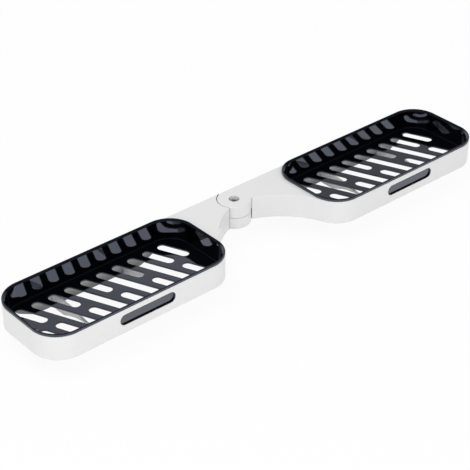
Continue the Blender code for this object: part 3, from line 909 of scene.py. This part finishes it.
def buildTray(name, side, body, node):
    t = trayShape
    bm = bmesh.new()
    size = (shelf["length"], shelf["depth"])
    face = roundedFace(bm, (0, 0), size, shelf["corner"], shelf["cornerSteps"])
    moveAll(bm, (0, 0, t["seat"]))
    shoulder = t["rimHeight"] - t["rimOuter"]
    top = raiseFace(bm, face, shoulder - t["seat"])
    steps = roundSteps(t["rimOuter"], t["rimOuterSteps"], 1, True)
    steps += roundSteps(t["rimInner"], t["rimInnerSteps"], -1, False, t["rimSlope"])
    slopeWidth = t["rim"] - sum(step[0] for step in steps)
    steps.append((slopeWidth, -slopeWidth * math.tan(t["rimSlope"])))
    wallTop = shoulder + sum(step[1] for step in steps)
    steps.append((t["draft"], -(t["floor"] + wallTop - t["inner"])))
    steps += roundSteps(t["inner"], t["innerSteps"], -1, True)
    stack(bm, top, steps)
    under = [
        (t["rim"] + t["draft"] - t["wall"], 0),
        (0, t["floor"] + t["floorThick"] - t["outer"] + t["seat"]),
    ]
    under += roundSteps(t["outer"], t["outerSteps"], 1, True)
    stack(bm, face, under)
    item = toObject(name, bm)
    for line in range(-slotShape["each"], slotShape["each"] + 1):
        for start, end in slotRuns(line):
            carve(item, slotCutter(line, start, end))
    edge, segments = slotShape["edge"], slotShape["edgeSegments"]
    floorSides = (-t["floor"], -t["floor"] - t["floorThick"])
    groups = [(edge, segments, levelEdge(z)) for z in floorSides]
    roundEdges(item, groups, slotShape["edgeSharpest"])
    item.data.transform(Matrix.Translation(hinge + Vector((side * middleX, middleY, 0))))
    finishPiece(item, blackPlastic, body, [node])


buildTray("leftTrayShell", -1, "left_basket", "left_tray")
buildTray("rightTrayShell", 1, "right_basket", "right_tray")
print("trays ready")


# Window inlays

inlayShape = {
    "flange": 0.0012, "gap": 0.0002, "wall": 0.0005, "face": 0.0001, "back": 0.0021,
    "depth": 0.0025, "floor": 0.0006, "lipSteps": 3,
}


# Drawn lying down with its front up, then stood in the front wall
def buildInlay(name, side, body, node):
    s = inlayShape
    bm = bmesh.new()
    length = windowShape["length"] + 2 * s["flange"]
    height = windowShape["height"] + 2 * s["flange"]
    face = obroundFace(bm, length, height, windowShape["endSteps"])
    moveAll(bm, (0, 0, -s["depth"]))
    top = raiseFace(bm, face, s["depth"] - s["back"])
    lip, count = s["wall"] / 2, s["lipSteps"]
    steps = [(s["flange"] + s["gap"], 0), (0, s["back"] - s["face"] - lip)]
    steps += roundSteps(lip, count, 1, True) + roundSteps(lip, count, -1, False)
    steps += [(0, -(s["depth"] - s["floor"] - s["face"] - lip - lip))]
    steps += roundSteps(lip, count, -1, True)
    stack(bm, top, steps)
    turnAll(bm, quarter, "X")
    item = toObject(name, bm)
    place = hinge + Vector((side * middleX, frontLine, -windowShape["drop"]))
    item.data.transform(Matrix.Translation(place))
    finishPiece(item, panelPlastic, body, [node])


buildInlay("leftInlayDish", -1, "left_shelf", "left_window_inlay")
buildInlay("rightInlayDish", 1, "right_shelf", "right_window_inlay")
print("inlays ready")


# Hinge screw

screwShape = {
    "shank": 0.003, "head": 0.0051, "bottom": -0.0054, "height": 0.0024, "round": 0.0008,
    "end": -0.0262, "point": 0.0005, "driveLength": 0.006, "driveWidth": 0.0012,
    "driveDepth": 0.0013, "edge": 0.00012, "edgeSharpest": 50, "headSteps": 5, "spinSteps": 64,
}


# Its half section, from the shank's tip to the middle of the head, spun about the hinge axis
def buildScrew():
    s = screwShape
    top = s["bottom"] + s["height"]
    profile = [
        (s["shank"] - s["point"], s["end"]), (s["shank"], s["end"] + s["point"]),
        (s["shank"], s["bottom"]), (s["head"], s["bottom"]),
    ]
    for i in range(s["headSteps"] + 1):
        a = quarter * i / s["headSteps"]
        radius = s["head"] - s["round"] * (1 - math.cos(a))
        profile.append((radius, top - s["round"] * (1 - math.sin(a))))
    profile.append((0, top))
    bm = bmesh.new()
    vert = bm.verts.new((0, 0, s["end"]))
    for radius, z in profile:
        vert = bmesh.ops.extrude_vert_indiv(bm, verts=[vert])["verts"][0]
        vert.co = (radius, 0, z)
    bmesh.ops.spin(
        bm, geom=bm.verts[:] + bm.edges[:], cent=(0, 0, 0), axis=(0, 0, 1), angle=math.tau,
        steps=s["spinSteps"], use_merge=True,
    )
    bmesh.ops.remove_doubles(bm, verts=bm.verts[:], dist=meshCare["merge"])
    bmesh.ops.recalc_face_normals(bm, faces=bm.faces[:])
    item = toObject("pivotScrewTurned", bm)
    long, wide, low = s["driveLength"] / 2, s["driveWidth"] / 2, top - s["driveDepth"]
    carve(item, block((-long, -wide, low), (long, wide, over)))
    carve(item, block((-wide, -long, low), (wide, long, over)))
    roundEdges(item, [(s["edge"], edgeSegments, anyEdge)], s["edgeSharpest"])
    item.data.transform(Matrix.Translation(hinge))
    finishPiece(item, steel, "left_shelf", ["pivot_screw"])


buildScrew()
print("screw ready")


# Brackets, pads and the cap follow their solids, with rounded edges

softEdges = {"bracket": (0.0005, 3), "pad": (0.00025, 2), "cap": (0.0003, 3)}
keptFinishes = {
    "screw_washer": steel, "nut_washer": steel, "pivot_nut": steel, "pivot_sleeve": brass,
    "friction_washer": nylon,
}

for side in ("left", "right"):
    body, plate, sheet = side + "_bracket", side + "_wall_bracket", side + "_adhesive_pad"
    bracket = softCopy(plate, side + "BracketMoulding", *softEdges["bracket"])
    finishPiece(bracket, plateMaterial(side), body, [plate])
    pad = softCopy(sheet, side + "PadSheet", *softEdges["pad"])
    finishPiece(pad, foam, body, [sheet])
cap = softCopy("pivot_cap", "pivotCapDisc", *softEdges["cap"])
finishPiece(cap, whitePlastic, "left_shelf", ["pivot_cap"])
for name, material in keptFinishes.items():
    nodes[name].data.materials.clear()
    nodes[name].data.materials.append(material)
print("brackets and hinge parts ready")


# Stage, light and camera


def mixShaders(tree, factor, first, second):
    node = tree.nodes.new("ShaderNodeMixShader")
    tree.links.new(factor, node.inputs["Fac"])
    tree.links.new(first.outputs[0], node.inputs[1])
    tree.links.new(second.outputs[0], node.inputs[2])
    return node


stageLook = {"size": 30.0, "drop": 0.0002, "color": (0.9, 0.9, 0.9), "whiteShare": 0.93}


# White to the camera and to mirrors, with a share that takes the object's shadow
def buildFloor():
    bm = bmesh.new()
    place = Matrix.Translation((0, 0, -stageLook["drop"]))
    size = stageLook["size"]
    bmesh.ops.create_grid(bm, x_segments=1, y_segments=1, size=size, matrix=place)
    floor = toObject("studioFloor", bm)
    material = bpy.data.materials.new("studioFloorWhite")
    material.use_nodes = True
    tree = material.node_tree
    tree.nodes.clear()
    out = tree.nodes.new("ShaderNodeOutputMaterial")
    matte = tree.nodes.new("ShaderNodeBsdfDiffuse")
    matte.inputs["Color"].default_value = (*stageLook["color"], 1.0)
    glow = tree.nodes.new("ShaderNodeEmission")
    glow.inputs["Color"].default_value = (1, 1, 1, 1)
    glow.inputs["Strength"].default_value = 1.0
    rays = tree.nodes.new("ShaderNodeLightPath").outputs
    seen = plus(tree, rays["Is Camera Ray"], rays["Is Glossy Ray"])
    seen = plus(tree, seen, rays["Is Transmission Ray"], True)
    mix = mixShaders(tree, times(tree, seen, stageLook["whiteShare"]), matte, glow)
    tree.links.new(mix.outputs[0], out.inputs["Surface"])
    floor.data.materials.append(material)


# The even fill, what mirrors show of the sky, and the ways and heights at which that changes
skyLook = {
    "fill": 0.70, "horizon": 0.35, "behind": 0.75, "behindRight": 0.55, "front": 0.08,
    "zenith": 0.12, "backWay": (0.6, 0.8), "backRange": (0.45, 0.72),
    "rightRange": (-0.11, -0.01), "zenithRange": (0.5, 0.9), "horizonRange": (0.04, 0.30),
}


def mirroredSky(tree):
    look = skyLook
    coords = tree.nodes.new("ShaderNodeTexCoord")
    x, y, z = splitNode(tree, coords.outputs["Generated"])
    towards = plus(tree, times(tree, x, look["backWay"][0]), times(tree, y, look["backWay"][1]))
    facing = rangeNode(tree, towards, *look["backRange"], look["front"], look["behind"])
    right = rangeNode(tree, minus(tree, x, y), *look["rightRange"], 1.0, look["behindRight"])
    facing = times(tree, facing, right)
    lift = rangeNode(tree, z, *look["zenithRange"])
    high = times(tree, minus(tree, 1.0, lift), facing)
    high = plus(tree, high, times(tree, lift, look["zenith"]))
    low = rangeNode(tree, z, *look["horizonRange"])
    edge = times(tree, minus(tree, 1.0, low), look["horizon"])
    return plus(tree, times(tree, low, high), edge)


# White to the camera, even to the lit object, graded to mirrors
def buildWorld():
    world = bpy.data.worlds.new("softStudio")
    bpy.context.scene.world = world
    world.use_nodes = True
    tree = world.node_tree
    tree.nodes.clear()
    out = tree.nodes.new("ShaderNodeOutputWorld")
    rays = tree.nodes.new("ShaderNodeLightPath").outputs
    fill, glossy, seen = (tree.nodes.new("ShaderNodeBackground") for i in range(3))
    for layer, strength in ((fill, skyLook["fill"]), (glossy, 1.0), (seen, 1.0)):
        layer.inputs["Color"].default_value = (1, 1, 1, 1)
        layer.inputs["Strength"].default_value = strength
    tree.links.new(mirroredSky(tree), glossy.inputs["Strength"])
    unseen = mixShaders(tree, rays["Is Glossy Ray"], fill, glossy)
    mix = mixShaders(tree, rays["Is Camera Ray"], unseen, seen)
    tree.links.new(mix.outputs[0], out.inputs["Surface"])


lamps = (
    {"name": "softKey", "place": (-1.0, -1.35, 0.95), "size": 1.5, "power": 10.2},
    {"name": "softTop", "place": (-0.6, 0.4, 2.3), "size": 1.8, "power": 11.4},
)


def buildLamps():
    for lamp in lamps:
        light = bpy.data.lights.new(lamp["name"], "AREA")
        light.shape = "DISK"
        light.size = lamp["size"]
        light.energy = lamp["power"]
        item = bpy.data.objects.new(lamp["name"], light)
        bpy.context.scene.collection.objects.link(item)
        item.location = lamp["place"]
        item.rotation_euler = (-Vector(lamp["place"])).to_track_quat("-Z", "Y").to_euler()
        item.visible_camera = False
        item.visible_glossy = False  # the black trays mirror the sky alone


cameraFit = {
    "place": (-0.92219, -1.03765, 0.91906),
    "azimuth": math.radians(-40.812),
    "elevation": math.radians(33.081),
    "lens": 115.93,
    "sensor": 36.0,
    "farClip": 200.0,
}


def buildCamera():
    data = bpy.data.cameras.new("shelfCamera")
    data.sensor_fit = "HORIZONTAL"
    data.sensor_width = cameraFit["sensor"]
    data.lens = cameraFit["lens"]
    data.clip_end = cameraFit["farClip"]
    camera = bpy.data.objects.new("shelfCamera", data)
    bpy.context.scene.collection.objects.link(camera)
    az, el = cameraFit["azimuth"], cameraFit["elevation"]
    back = Vector((math.sin(az) * math.cos(el), -math.cos(az) * math.cos(el), math.sin(el)))
    right = Vector((math.cos(az), math.sin(az), 0))
    facing = Matrix((right, back.cross(right), back)).transposed().to_4x4()
    camera.matrix_world = Matrix.Translation(cameraFit["place"]) @ facing
    bpy.context.scene.camera = camera


buildFloor()
buildWorld()
buildLamps()
buildCamera()
bpy.context.scene.view_settings.view_transform = "Standard"
print("stage ready")
